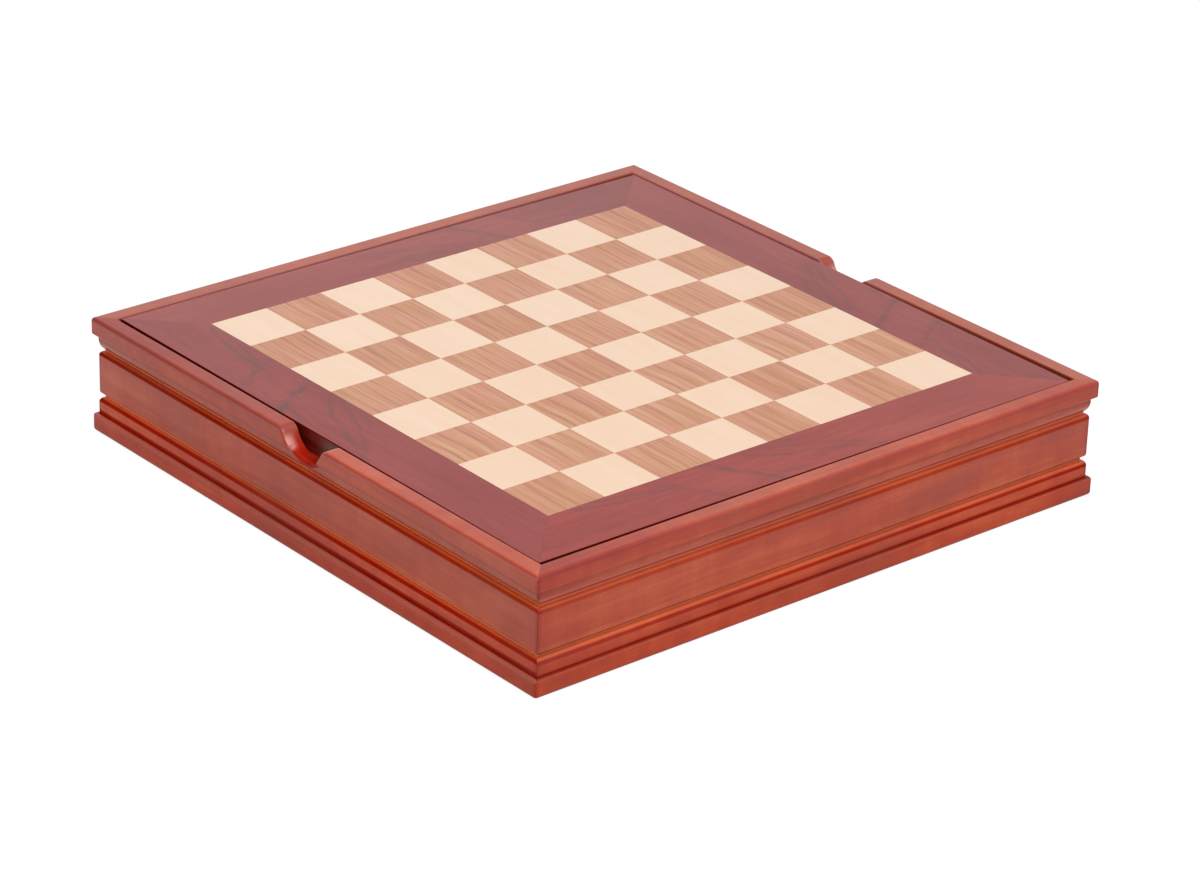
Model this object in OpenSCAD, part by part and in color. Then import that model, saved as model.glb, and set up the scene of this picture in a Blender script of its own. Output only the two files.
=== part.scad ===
// Square board-game storage box: a moulded case with mitred corners, and a
// chequered playing board that drops into the top of it as a lift-off lid.
// Millimetres. Origin at the middle of the base, +Z up. The two rims that
// carry a finger notch are at -X and +X.

/* [Board] */
// Side of one playing square
square = 35; // [32:0.5:38]
// Width of the veneered border around the playing field
border_w = 34.5; // [28:0.5:40]
// Thickness of the whole board
lid_t = 12.5; // [11:0.5:14]
// Thickness of the top veneers
veneer_t = 0.7; // [0.5:0.1:1.5]
// Thickness of the balancing veneer under the board
backing_t = 0.5; // [0.4:0.1:1]
// Width of the solid lipping around the core
lipping_w = 5; // [3:0.5:10]
// Glue line between neighbouring squares
joint = 0.04; // [0.02:0.01:0.1]
// How far the playing field sits off the middle of the board, towards +Y
field_off_y = 1.6; // [-2:0.1:2]
// How far the loose board lies off the middle of its recess, towards +X
lid_off_x = 0.35; // [-1.4:0.05:1.4]
// How far the loose board lies off the middle of its recess, towards +Y
lid_off_y = 0.35; // [-1.4:0.05:1.4]
// How far the loose board lies turned in its recess, clockwise from above
lid_turn = 0.3; // [-0.4:0.05:0.4]

/* [Case] */
// Height of the case
case_h = 65; // [60:1:90]
// Width of the flat rim around the board
rim_w = 9.75; // [8.5:0.05:11]
// Gap between the board's edge and the rim, on each side
lid_gap = 1.5; // [1:0.05:2.5]
// How far the board's face lies below the rim
lid_recess = 0.75; // [0:0.25:2]
// Thickness of the side walls below the rebate
wall_t = 15; // [14:0.5:20]
// Radius of the vertical outer corners
corner_r = 1.5; // [0.5:0.1:2]
// Radius of the rim's outer top edge
rim_r = 2; // [0.5:0.1:2.5]
// Radius of the rim's inner top edge
rim_in_r = 0.7; // [0.3:0.1:1]

/* [Finger notches] */
// Depth of a notch below the rim
notch_d = 12.6; // [8:0.1:13]
// Radius of the hollow of a notch
notch_r = 16.5; // [14:0.5:20]
// Radius that eases a notch into the rim
notch_lead = 6; // [3:0.5:8]

/* [Inside] */
// Thickness of the bottom panel
panel_t = 5; // [4:0.5:6]
// Height of the bottom panel's underside above the table
panel_z = 5; // [4:0.5:7]
// Thickness of the dividers
div_t = 6; // [5:0.5:10]
// Depth of the housings that hold the dividers' ends
dado_d = 3; // [2:0.5:4]
// Clearance between the dividers' top edges and the board
div_gap = 1; // [0.5:0.5:10]
// Thickness of the felt
felt_t = 1; // [0.5:0.1:2]

/* [Hidden] */

field = 4 * square;              // half the playing field
lid_half = field + border_w;     // half the board
open_half = lid_half + lid_gap;  // half the opening in the rim
X0 = open_half + rim_w;          // half the case, to its widest faces
xi = X0 - wall_t;                // half the inner cavity
H = case_h;
ledge = H - lid_recess - lid_t;  // the rebate that the board rests on
floor_z = panel_z + panel_t;     // top of the bottom panel
groove = 4;                      // depth of the bottom panel's groove
slack = 0.3;                     // room for the panel and felts to move
div_top = ledge - div_gap;
div_mid = (floor_z + div_top) / 2;

// mitre splines: thickness, width, height and place
sp_t = 3;
sp_w = 9;
sp_z = 14;
sp_h = ledge - 6 - sp_z;
sp_c = xi + 4.2;

rim_c = [0.50, 0.19, 0.14];
case_c = [0.47, 0.18, 0.13];
border_c = [0.36, 0.15, 0.13];
light_c = [0.93, 0.76, 0.58];
dark_c = [0.55, 0.36, 0.24];
felt_c = [0.10, 0.26, 0.16];
ply_c = [0.76, 0.60, 0.42];

function arc(cx, cz, r, a0, a1, n = 8) =
  [for (i = [0:n]) let (a = a0 + (a1 - a0) * i / n) [cx + r * cos(a), cz + r * sin(a)]];

// Section of a wall: x is the distance out from the middle of the case.
// Outside, from the foot up: plinth, bead band, groove, flat band, groove,
// ovolo and overhanging top rail. Inside: panel groove and board rebate.
function wall_section() = concat(
  [[xi, 0]],
  arc(X0 - 2, 2, 2, -90, 0),                                // foot of the plinth
  arc(X0 - 1.2, 8.8, 1.2, 0, 90),                           // rounded top of the plinth
  [[X0 - 2.35, 10]],
  arc(X0 - 5.35, 16.6, 3, 0, 83.3),                         // bead band and its lip
  [[X0 - 5, 21.5]],
  arc(X0 - 4.6, 23.4, 1.9, -90, 0),                         // foot of the flat band
  arc(X0 - 5, H - 21.3, 2.3, 0, 90),                        // lip of the flat band
  [[X0 - 5.3, H - 19]],
  arc(X0 - 11, H - 12, 8.4, -47.27, 0),                     // ovolo
  [[X0 - 2.6, H - 10]],
  arc(X0 - 1, H - 8.5, 1, -90, 0),                          // underside of the top rail
  arc(X0 - rim_r, H - rim_r, rim_r, 0, 90),
  arc(open_half + rim_in_r, H - rim_in_r, rim_in_r, 90, 180, 4),
  [[open_half, ledge], [xi, ledge],
   [xi, floor_z], [xi + groove, floor_z], [xi + groove, panel_z], [xi, panel_z]]
);

// plan of the outside, with eased corners
function rounded_square(h, r) = concat(
  arc(h - r, h - r, r, 0, 90), arc(r - h, h - r, r, 90, 180),
  arc(r - h, r - h, r, 180, 270), arc(h - r, r - h, r, 270, 360));

// Outline of a finger notch, y across and z up: a hollow that turns through a
// lead-in on each side into the flat of the rim.
notch_c = H - notch_d + notch_r;                            // height of the hollow's centre
lead_y = sqrt(pow(notch_r + notch_lead, 2) - pow(notch_c - H + notch_lead, 2));
lead_a = atan2(notch_c - (H - notch_lead), lead_y);         // where hollow and lead-in meet
function notch_half() = concat(
  arc(0, notch_c, notch_r, -90, -lead_a, 12),
  [for (i = [1:8]) let (a = 180 - lead_a - (90 - lead_a) * i / 8)
    [lead_y + notch_lead * cos(a), H - notch_lead + notch_lead * sin(a)]]);
function notch_outline() = let (h = notch_half()) concat(
  [for (i = [len(h) - 1:-1:1]) [-h[i][0], h[i][1]]], h,
  [[lead_y, H + 2], [-lead_y, H + 2]]);

// one wall, on the +X side
module wall(notched) {
  difference() {
    intersection() {
      rotate([90, 0, 0]) linear_extrude(height = 2 * X0 + 4, center = true) polygon(wall_section());
      translate([0, 0, -1]) linear_extrude(height = H + 2)
        polygon([[0, 0], [X0 + 2, -X0 - 2], [X0 + 2, X0 + 2]]);
      translate([0, 0, -1]) linear_extrude(height = H + 2)
        polygon(rounded_square(X0, corner_r));
    }
    // housing for a divider's end
    translate([xi - 1, -div_t / 2, floor_z]) cube([dado_d + 1, div_t, ledge - floor_z + 1]);
    // slots for the mitre splines
    for (s = [-1, 1]) translate([sp_c, s * sp_c, sp_z]) rotate([0, 0, s * 45])
      translate([-sp_t / 2, -sp_w / 2, 0]) cube([sp_t, sp_w, sp_h]);
    if (notched)
      translate([X0 - wall_t, 0, 0]) rotate([90, 0, 90]) linear_extrude(height = wall_t + 2)
        polygon(notch_outline());
  }
}

module notched_wall_left() color(case_c) rotate([0, 0, 180]) wall(true);
module notched_wall_right() color(case_c) wall(true);
module plain_wall_front() color(case_c) rotate([0, 0, -90]) wall(false);
module plain_wall_rear() color(case_c) rotate([0, 0, 90]) wall(false);

// loose tongues glued across the four mitres
module mitre_splines() color(ply_c)
  for (q = [0:3]) rotate([0, 0, 90 * q]) translate([sp_c, sp_c, sp_z]) rotate([0, 0, 45])
    translate([-sp_t / 2, -sp_w / 2, 0]) cube([sp_t, sp_w, sp_h]);

module slab(half, z, t) translate([-half, -half, z]) cube([2 * half, 2 * half, t]);

module bottom_panel() color(ply_c) slab(xi + groove - slack, panel_z, panel_t);
module underside_felt() color(felt_c) slab(xi - slack, panel_z - felt_t, felt_t);

// half-lapped dividers; the long one is slotted from above, the cross one from below
module long_divider() color(case_c) difference() {
  translate([-xi - dado_d, -div_t / 2, floor_z]) cube([2 * (xi + dado_d), div_t, div_top - floor_z]);
  translate([-div_t / 2, -div_t, div_mid]) cube([div_t, 2 * div_t, H]);
}
module cross_divider() color(case_c) difference() {
  translate([-div_t / 2, -xi - dado_d, floor_z]) cube([div_t, 2 * (xi + dado_d), div_top - floor_z]);
  translate([-div_t, -div_t / 2, floor_z - 1]) cube([2 * div_t, div_t, div_mid - floor_z + 1]);
}

// felt on the floor of one bay; sx and sy choose the bay
module bay_felt(sx, sy) {
  w = xi - div_t / 2 - 2 * slack;
  c = (xi + div_t / 2) / 2;
  color(felt_c) translate([sx * c - w / 2, sy * c - w / 2, floor_z]) cube([w, w, felt_t]);
}
module bay_felt_front_left() bay_felt(-1, -1);
module bay_felt_front_right() bay_felt(1, -1);
module bay_felt_rear_left() bay_felt(-1, 1);
module bay_felt_rear_right() bay_felt(1, 1);

// the board keeps clear of the rim however it lies
turn_room = asin((lid_gap - 0.3) / lid_half);
turn = sign(lid_turn) * min(abs(lid_turn), turn_room);
off_room = open_half - 0.2 - lid_half * (cos(turn) + sin(abs(turn)));
function held(off) = sign(off) * min(abs(off), off_room);
seat = 0.01; // under a loose board there is always a little air
module on_lid() translate([held(lid_off_x), held(lid_off_y), seat]) rotate([0, 0, -turn]) children();

core_half = lid_half - lipping_w;
core_z = ledge + backing_t;
core_t = lid_t - backing_t - veneer_t;
top_z = core_z + core_t;

module board_core() color(ply_c) on_lid() slab(core_half, core_z, core_t);
module backing_veneer() color(border_c) on_lid() slab(lid_half, ledge, backing_t);

// a mitred strip on side q, counted in quarter turns from +X: from a square of
// half width in, moved by off towards +Y, out to a square of half width out
function corner(h, q) = [h * (q % 3 == 0 ? 1 : -1), h * (q < 2 ? 1 : -1)];
module strip(q, in, out, z, t, off = 0) let (r = (q + 3) % 4) translate([0, 0, z]) linear_extrude(height = t)
  polygon([corner(in, r) + [0, off], corner(out, r), corner(out, q), corner(in, q) + [0, off]]);

module lipping(q) color(border_c) on_lid() strip(q, core_half, lid_half, core_z, core_t);
module lipping_right() lipping(0);
module lipping_rear() lipping(1);
module lipping_left() lipping(2);
module lipping_front() lipping(3);

module border(q) color(border_c) on_lid() strip(q, field + joint / 2, lid_half, top_z, veneer_t, field_off_y);
module border_right() border(0);
module border_rear() border(1);
module border_left() border(2);
module border_front() border(3);

// 32 squares of one colour; the square nearest the -X -Y corner is dark
module squares(odd) for (i = [0:7], j = [0:7]) if ((i + j) % 2 == odd)
  translate([-field + i * square + joint / 2, -field + j * square + joint / 2 + field_off_y, top_z])
    cube([square - joint, square - joint, veneer_t]);
module light_squares() color(light_c) on_lid() squares(1);
module dark_squares() color(dark_c) on_lid() squares(0);

notched_wall_left();
notched_wall_right();
plain_wall_front();
plain_wall_rear();
mitre_splines();
bottom_panel();
underside_felt();
long_divider();
cross_divider();
bay_felt_front_left();
bay_felt_front_right();
bay_felt_rear_left();
bay_felt_rear_right();
board_core();
lipping_left();
lipping_right();
lipping_front();
lipping_rear();
border_left();
border_right();
border_front();
border_rear();
light_squares();
dark_squares();
backing_veneer();
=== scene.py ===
import math

import bpy
from mathutils import Matrix, Vector, noise
from mathutils.geometry import tessellate_polygon


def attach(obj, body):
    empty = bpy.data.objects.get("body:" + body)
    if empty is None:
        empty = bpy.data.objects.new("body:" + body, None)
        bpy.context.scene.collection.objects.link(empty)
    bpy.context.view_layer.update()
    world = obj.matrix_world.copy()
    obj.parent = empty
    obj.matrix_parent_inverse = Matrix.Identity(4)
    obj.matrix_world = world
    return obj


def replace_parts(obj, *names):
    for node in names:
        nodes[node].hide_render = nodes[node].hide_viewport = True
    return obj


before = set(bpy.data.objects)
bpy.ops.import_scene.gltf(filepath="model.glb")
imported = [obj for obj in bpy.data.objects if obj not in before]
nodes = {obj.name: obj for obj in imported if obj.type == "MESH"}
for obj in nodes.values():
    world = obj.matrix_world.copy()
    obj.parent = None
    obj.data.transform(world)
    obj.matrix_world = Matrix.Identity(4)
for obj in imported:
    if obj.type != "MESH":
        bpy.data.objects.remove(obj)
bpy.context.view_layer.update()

scene = bpy.context.scene
MM = 0.001

# ---------------------------------------------------------------- dimensions (mm, as in part.scad)
SQUARE = 35.0
FIELD = 4 * SQUARE
BORDER_W = 34.5
LID_HALF = FIELD + BORDER_W
LID_GAP = 1.5
RIM_W = 9.75
OPEN_HALF = LID_HALF + LID_GAP
X0 = OPEN_HALF + RIM_W
WALL_T = 15.0
XI = X0 - WALL_T
H = 65.0
LID_T = 12.5
RECESS = 0.75
LEDGE = H - RECESS - LID_T
SEAT = 0.01                      # the air under the loose board
FIELD_Y = 1.6                    # the playing field sits off the middle of the board
LID_X, LID_Y = 0.35, 0.35        # where the loose board lies in its recess
LID_C, LID_S = math.cos(math.radians(0.3)), math.sin(math.radians(0.3))
LIPPING_W, BACKING_T, VENEER_T = 5.0, 0.5, 0.7
TOP_Z = LEDGE + LID_T - VENEER_T
FELT_T = 1.0
PANEL_Z, PANEL_T = 5.0, 5.0
FLOOR_Z = PANEL_Z + PANEL_T
GROOVE = 4.0
DIV_T, DADO_D = 6.0, 3.0
RIM_R, RIM_IN_R = 2.0, 0.7
NOTCH_D, NOTCH_R, NOTCH_LEAD = 12.6, 16.5, 6.0
NOTCH_C = H - NOTCH_D + NOTCH_R
LEAD_Y = math.sqrt((NOTCH_R + NOTCH_LEAD) ** 2 - (NOTCH_C - H + NOTCH_LEAD) ** 2)
LEAD_A = math.degrees(math.atan2(NOTCH_C - (H - NOTCH_LEAD), LEAD_Y))
SP_T, SP_W, SP_Z = 3.0, 9.0, 14.0
SP_H = LEDGE - 6 - SP_Z
SP_C = XI + 4.2
SLACK = 0.3


# ---------------------------------------------------------------- mesh helpers
class Mesh:
    """Collects faces over shared points; points closer than 1e-4 mm are one point."""

    def __init__(self):
        self.co, self.index, self.faces = [], {}, []

    def v(self, p):
        key = (round(p[0] * 1e4), round(p[1] * 1e4), round(p[2] * 1e4))
        if key not in self.index:
            self.index[key] = len(self.co)
            self.co.append((p[0] * MM, p[1] * MM, p[2] * MM))
        return self.index[key]

    def face(self, *points):
        ids = []
        for p in points:
            i = p if isinstance(p, int) else self.v(p)
            if not ids or ids[-1] != i:
                ids.append(i)
        if len(ids) > 1 and ids[0] == ids[-1]:
            ids.pop()
        if len(ids) >= 3 and len(set(ids)) == len(ids):
            self.faces.append(ids)

    def build(self, name, material, body, turn=0.0, sharp=32, smooth=True):
        me = bpy.data.meshes.new(name)
        me.from_pydata(self.co, [], self.faces)
        if turn:
            me.transform(Matrix.Rotation(math.radians(turn), 4, "Z"))
        me.validate()
        me.update()
        import bmesh
        bm = bmesh.new()
        bm.from_mesh(me)
        bmesh.ops.recalc_face_normals(bm, faces=bm.faces)
        bm.to_mesh(me)
        bm.free()
        if smooth:
            me.polygons.foreach_set("use_smooth", [True] * len(me.polygons))
            me.set_sharp_from_angle(angle=math.radians(sharp))
        me.materials.append(material)
        ob = bpy.data.objects.new(name, me)
        scene.collection.objects.link(ob)
        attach(ob, body)
        return ob


def arc(cx, cz, r, a0, a1, n):
    return [(cx + r * math.cos(math.radians(a0 + (a1 - a0) * i / n)),
             cz + r * math.sin(math.radians(a0 + (a1 - a0) * i / n))) for i in range(n + 1)]


def subdivide(a, b, step):
    n = max(1, math.ceil(math.dist(a, b) / step))
    return [(a[0] + (b[0] - a[0]) * i / n, a[1] + (b[1] - a[1]) * i / n) for i in range(1, n)]


def hold(a, b, d=0.12):
    """Points close to the ends of a straight run, which keep its shading flat."""
    n = math.dist(a, b)
    return [(a[0] + (b[0] - a[0]) * k / n, a[1] + (b[1] - a[1]) * k / n) for k in (d, n - d)]


def on_lid(x, y, z):
    """From the board's own frame to where the loose board lies, turned a little clockwise."""
    return (LID_X + LID_C * x + LID_S * y, LID_Y - LID_S * x + LID_C * y, z + SEAT)


# ---------------------------------------------------------------- the moulded wall
def outer_profile():
    """Outside of a wall from the foot up to the start of the rim's rounding, as (x, z)."""
    parts = [
        arc(X0 - 2, 2, 2, -90, 0, 8),
        arc(X0 - 1.2, 8.8, 1.2, 0, 90, 8),
        [(X0 - 2.42, 10.0), (X0 - 2.62, 9.92), (X0 - 2.62, 10.22), (X0 - 2.35, 10.4)],
        arc(X0 - 5.35, 16.6, 3, 0, 83.3, 12),
        [(X0 - 5, 21.5)],
        arc(X0 - 4.6, 23.4, 1.9, -90, 0, 8),
        arc(X0 - 5, H - 21.3, 2.3, 0, 90, 10),
        [(X0 - 5.3, H - 19)],
        arc(X0 - 11, H - 12, 8.4, -47.27, 0, 10),
        [(X0 - 2.6, H - 10)],
        arc(X0 - 1, H - 8.5, 1, -90, 0, 6),
        [(X0, H - RIM_R)],
    ]
    out = []
    for p in parts:
        for q in p:
            if out and math.dist(out[-1], q) < 1e-6:
                continue
            if out and math.dist(out[-1], q) > 0.9:
                a, b = hold(out[-1], q)
                out.append(a)
                if abs(a[0] - b[0]) < 1e-6 and math.dist(a, b) > 2.5:
                    out += subdivide(a, b, 2.5)
                out.append(b)
            out.append(q)
    return out


PROFILE = outer_profile()


def face_x(z):
    """Outer x of the moulding at height z, above the ovolo's foot."""
    best = PROFILE[-1][0]
    for (xa, za), (xb, zb) in zip(PROFILE, PROFILE[1:]):
        if za > H - 19 and zb >= za and za <= z <= zb and zb > za:
            return xa + (xb - xa) * (z - za) / (zb - za)
    return best


def corner_round(x):
    """Radius of the vertical outer corner of whatever lies this far out."""
    return max(0.25, 0.35 + (x - (X0 - 5.3)) / 5.3 * 1.15)


def notch_path():
    """The rim's line over a notch as (y, z, ny, nz), the normal pointing into the wood, from -Y to +Y."""
    half = []
    for i in range(25):
        a = math.radians(-90 + (90 - LEAD_A) * i / 24)
        half.append((NOTCH_R * math.cos(a), NOTCH_C + NOTCH_R * math.sin(a), math.cos(a), math.sin(a)))
    for i in range(1, 17):
        a = math.radians(180 - LEAD_A - (90 - LEAD_A) * i / 16)
        half.append((LEAD_Y + NOTCH_LEAD * math.cos(a), H - NOTCH_LEAD + NOTCH_LEAD * math.sin(a),
                     -math.cos(a), -math.sin(a)))
    # stations where the offset line passes a corner of the profile, and where the housing's sides are
    levels = [z for x, z in PROFILE if H - 14 < z < H - 2]
    full = []
    for a, b in zip(half, half[1:]):
        full.append(a)
        cuts = []
        za, zb = a[1] + RIM_R * a[3], b[1] + RIM_R * b[3]
        for z in levels:
            if min(za, zb) + 1e-3 < z < max(za, zb) - 1e-3:
                cuts.append((z - za) / (zb - za))
        if a[0] < DIV_T / 2 < b[0]:
            cuts.append((DIV_T / 2 - a[0]) / (b[0] - a[0]))
        for t in sorted(cuts):
            full.append(tuple(a[k] + (b[k] - a[k]) * t for k in range(4)))
    full.append(half[-1])
    return [(-y, z, -ny, nz) for y, z, ny, nz in reversed(full[1:])] + full


def wall(name, turn, notched, material):
    r_in = RIM_IN_R
    stations = []      # (y, z, ny, nz, inside the housing?)
    flat = [-160, -120, -80, -50, -30] if notched else [-160, -120, -80, -40]
    for y in flat:
        stations.append((y, H, 0, -1, False))
    if notched:
        for y, z, ny, nz in notch_path():
            at = abs(abs(y) - DIV_T / 2) < 1e-6
            inside = abs(y) < DIV_T / 2
            if at:
                first, second = (False, True) if y < 0 else (True, False)
                stations += [(y, z, ny, nz, first), (y, z, ny, nz, second)]
            else:
                stations.append((y, z, ny, nz, inside))
    else:
        for y, first, second in ((-DIV_T / 2, False, True), (DIV_T / 2, True, False)):
            stations += [(y, H, 0, -1, first), (y, H, 0, -1, second)]
    for y in reversed(flat):
        stations.append((-y, H, 0, -1, False))

    def section(st):
        """The closed section at a station, as (x, y, z, corner radius)."""
        y, z, ny, nz, housed = st
        qy, qz = y + RIM_R * ny, z + RIM_R * nz
        rows = [(XI, y, 0.5, 0), (XI + 0.5, y, 0, 0)]
        for px, pz in PROFILE[:-1]:
            if pz <= qz:
                rows.append((px, qy, pz, corner_round(px)))
            else:
                rows.append((face_x(qz), qy, qz, corner_round(face_x(qz))))
        fx = face_x(qz)
        n = 7
        for i in range(n + 1):
            a = math.radians(90 * i / n)
            t, e = RIM_R * (1 - math.sin(a)), RIM_R * (1 - math.cos(a))
            rows.append((fx - e, y + t * ny, z + t * nz, max(corner_round(fx) - e, 0.15)))
        run = fx - RIM_R - OPEN_HALF - r_in
        for k in (0.12 / run, 0.35, 0.65, 1 - 0.12 / run):
            rows.append((fx - RIM_R - run * k, y, z, 0))
        for i in range(5):
            a = math.radians(90 * i / 4)
            t, e = r_in * (1 - math.cos(a)), r_in * (1 - math.sin(a))
            rows.append((OPEN_HALF + e, y + t * ny, z + t * nz, 0))
        back = XI + DADO_D
        rows += [(OPEN_HALF, y, min(z - r_in, H) - 0.12, 0), (OPEN_HALF, y, LEDGE, 0), (back, y, LEDGE, 0)]
        inner = back if housed else XI
        rows += [(inner, y, LEDGE, 0), (inner, y, FLOOR_Z, 0), (back, y, FLOOR_Z, 0),
                 (XI + GROOVE, y, FLOOR_Z, 0), (XI + GROOVE, y, PANEL_Z, 0), (XI, y, PANEL_Z, 0)]
        return rows

    grid = []
    ends = section((0, H, 0, -1, False))
    steps = 6
    for side in (-1, 1):
        block = []
        for k in range(steps + 1):
            a = math.radians(45 * k / steps)
            line = []
            for x, _, z, rc in ends:
                if rc:
                    line.append((x - rc + rc * math.cos(a), side * (x - rc + rc * math.sin(a)), z))
                else:
                    line.append((x, side * x, z))
            block.append(line)
        # the mitre itself: a hairline, eased on both sides where it shows
        c = 0.10
        last, eased = block[-1], []
        for (x, y, z), (_, _, _, rc) in zip(last, ends):
            d = c if rc else 0.0
            eased.append((x - d * 0.9, y - side * (d * 0.9 + 0.015), z))
        block[-1] = [(x, y - side * (0.015 + (c if rc else 0)), z)
                     for (x, y, z), (_, _, _, rc) in zip(last, ends)]
        block.append(eased)
        grid.append(block if side > 0 else list(reversed(block)))
    middle = [[(x, y, z) for x, y, z, _ in section(st)] for st in stations]
    # points nearer the corner than their own end stay where they are; the flat run starts inside 160 mm
    lines = grid[0] + middle + grid[1]
    m = Mesh()
    n = len(lines[0])
    for la, lb in zip(lines, lines[1:]):
        for i in range(n):
            j = (i + 1) % n
            m.face(la[i], la[j], lb[j], lb[i])
    # the mitred ends, each with its slot for a tongue
    for side, line in ((-1, lines[0]), (1, lines[-1])):
        loop = []
        for p in line:
            if not loop or math.dist(loop[-1], p) > 1e-4:
                loop.append(p)
        if math.dist(loop[0], loop[-1]) < 1e-4:
            loop.pop()
        q = SP_T / 2 / math.sqrt(2)
        rect = [(SP_C - q, SP_Z), (SP_C + q, SP_Z), (SP_C + q, SP_Z + SP_H), (SP_C - q, SP_Z + SP_H)]
        mouth = [(x, side * (x - 0.015), z) for x, z in rect]
        flat2 = [Vector((p[0], p[2], 0)) for p in loop]
        tris = tessellate_polygon([flat2, [Vector((x, z, 0)) for x, z in rect]])
        both = loop + mouth
        for t in tris:
            m.face(*[both[i] for i in t])
        dx, dy = SP_W / 2 / math.sqrt(2), -side * SP_W / 2 / math.sqrt(2)
        deep = [(x + dx, y + dy, z) for x, y, z in mouth]
        for i in range(4):
            j = (i + 1) % 4
            m.face(mouth[i], mouth[j], deep[j], deep[i])
        m.face(*deep)
    ob = m.build(name, material, "case", turn)
    return ob


# ---------------------------------------------------------------- node helpers
class Tree:
    def __init__(self, name):
        self.mat = bpy.data.materials.new(name)
        self.mat.use_nodes = True
        self.t = self.mat.node_tree
        self.t.nodes.clear()
        self.out = self.t.nodes.new("ShaderNodeOutputMaterial")

    def set(self, socket, value):
        if value is None:
            return
        if isinstance(value, bpy.types.NodeSocket):
            self.t.links.new(value, socket)
        elif isinstance(value, (tuple, list)) and len(value) == 3 and socket.type == "RGBA":
            socket.default_value = (*value, 1.0)
        else:
            socket.default_value = value

    def new(self, kind, **props):
        n = self.t.nodes.new(kind)
        for k, v in props.items():
            setattr(n, k, v)
        return n

    def coords(self):
        return self.new("ShaderNodeTexCoord").outputs["Object"]

    def xyz(self, v):
        n = self.new("ShaderNodeSeparateXYZ")
        self.set(n.inputs[0], v)
        return n.outputs

    def vec(self, x=0.0, y=0.0, z=0.0):
        n = self.new("ShaderNodeCombineXYZ")
        for s, v in zip(n.inputs, (x, y, z)):
            self.set(s, v)
        return n.outputs[0]

    def math(self, op, a, b=None, c=None, clamp=False):
        n = self.new("ShaderNodeMath", operation=op, use_clamp=clamp)
        for s, v in zip(n.inputs, (a, b, c)):
            self.set(s, v)
        return n.outputs[0]

    def add(self, a, b):
        return self.math("ADD", a, b)

    def mul(self, a, b):
        return self.math("MULTIPLY", a, b)

    def vmul(self, v, k):
        n = self.new("ShaderNodeVectorMath", operation="MULTIPLY")
        self.set(n.inputs[0], v)
        self.set(n.inputs[1], k)
        return n.outputs[0]

    def vadd(self, a, b):
        n = self.new("ShaderNodeVectorMath", operation="ADD")
        self.set(n.inputs[0], a)
        self.set(n.inputs[1], b)
        return n.outputs[0]

    def noise(self, v, scale=1.0, detail=2.0, rough=0.5, distort=0.0, color=False, w=None):
        n = self.new("ShaderNodeTexNoise", noise_dimensions="4D" if w is not None else "3D")
        self.set(n.inputs["Vector"], v)
        if w is not None:
            self.set(n.inputs["W"], w)
        n.inputs["Scale"].default_value = scale
        n.inputs["Detail"].default_value = detail
        n.inputs["Roughness"].default_value = rough
        n.inputs["Distortion"].default_value = distort
        return n.outputs["Color" if color else "Fac"]

    def range(self, v, a, b, c=0.0, d=1.0, smooth=True, clamp=True):
        n = self.new("ShaderNodeMapRange", interpolation_type="SMOOTHSTEP" if smooth else "LINEAR")
        if not smooth:
            n.clamp = clamp
        for s, x in zip(n.inputs, (v, a, b, c, d)):
            self.set(s, x)
        return n.outputs[0]

    def mix(self, f, a, b, mode="MIX"):
        n = self.new("ShaderNodeMix", data_type="RGBA", blend_type=mode)
        self.set(n.inputs[0], f)
        self.set(n.inputs[6], a)
        self.set(n.inputs[7], b)
        return n.outputs[2]

    def power(self, color, k):
        n = self.new("ShaderNodeGamma")
        self.set(n.inputs[0], color)
        self.set(n.inputs[1], k)
        return n.outputs[0]

    def ramp(self, f, stops, mode="LINEAR"):
        n = self.new("ShaderNodeValToRGB")
        n.color_ramp.interpolation = mode
        e = n.color_ramp.elements
        while len(e) < len(stops):
            e.new(0.5)
        for i, (p, c) in enumerate(stops):
            e[i].position = p
            e[i].color = (*c, 1) if isinstance(c, tuple) else (c, c, c, 1)
        self.set(n.inputs[0], f)
        return n.outputs[0]

    def bump(self, height, strength, distance, normal=None):
        n = self.new("ShaderNodeBump")
        n.inputs["Strength"].default_value = strength
        n.inputs["Distance"].default_value = distance
        self.set(n.inputs["Height"], height)
        self.set(n.inputs["Normal"], normal)
        return n.outputs[0]

    def surface(self, color, rough, normal=None, coat=1.0, coat_rough=0.12, specular=0.25, sheen=0.0,
                coat_normal=None, coat_ior=1.5, sheen_rough=0.5):
        p = self.new("ShaderNodeBsdfPrincipled")
        self.set(p.inputs["Base Color"], color)
        self.set(p.inputs["Roughness"], rough)
        self.set(p.inputs["Normal"], normal)
        p.inputs["Specular IOR Level"].default_value = specular
        self.set(p.inputs["Coat Weight"], coat)
        p.inputs["Coat Roughness"].default_value = coat_rough
        p.inputs["Coat IOR"].default_value = coat_ior
        self.set(p.inputs["Coat Normal"], coat_normal)
        if sheen:
            p.inputs["Sheen Weight"].default_value = sheen
            p.inputs["Sheen Roughness"].default_value = sheen_rough
        self.t.links.new(p.outputs[0], self.out.inputs[0])
        return self.mat


# ---------------------------------------------------------------- materials
def millimetres(t):
    return t.xyz(t.vmul(t.coords(), (1000.0, 1000.0, 1000.0)))


def on_field(t):
    """Millimetres from the middle of the playing field, along its own sides."""
    x, y, z = t.xyz(t.vadd(t.vmul(t.coords(), (1000.0, 1000.0, 1000.0)), (-LID_X, -LID_Y, 0.0)))
    return (t.add(t.mul(x, LID_C), t.mul(y, -LID_S)), t.add(t.add(t.mul(x, LID_S), t.mul(y, LID_C)), -FIELD_Y), z)


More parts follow.
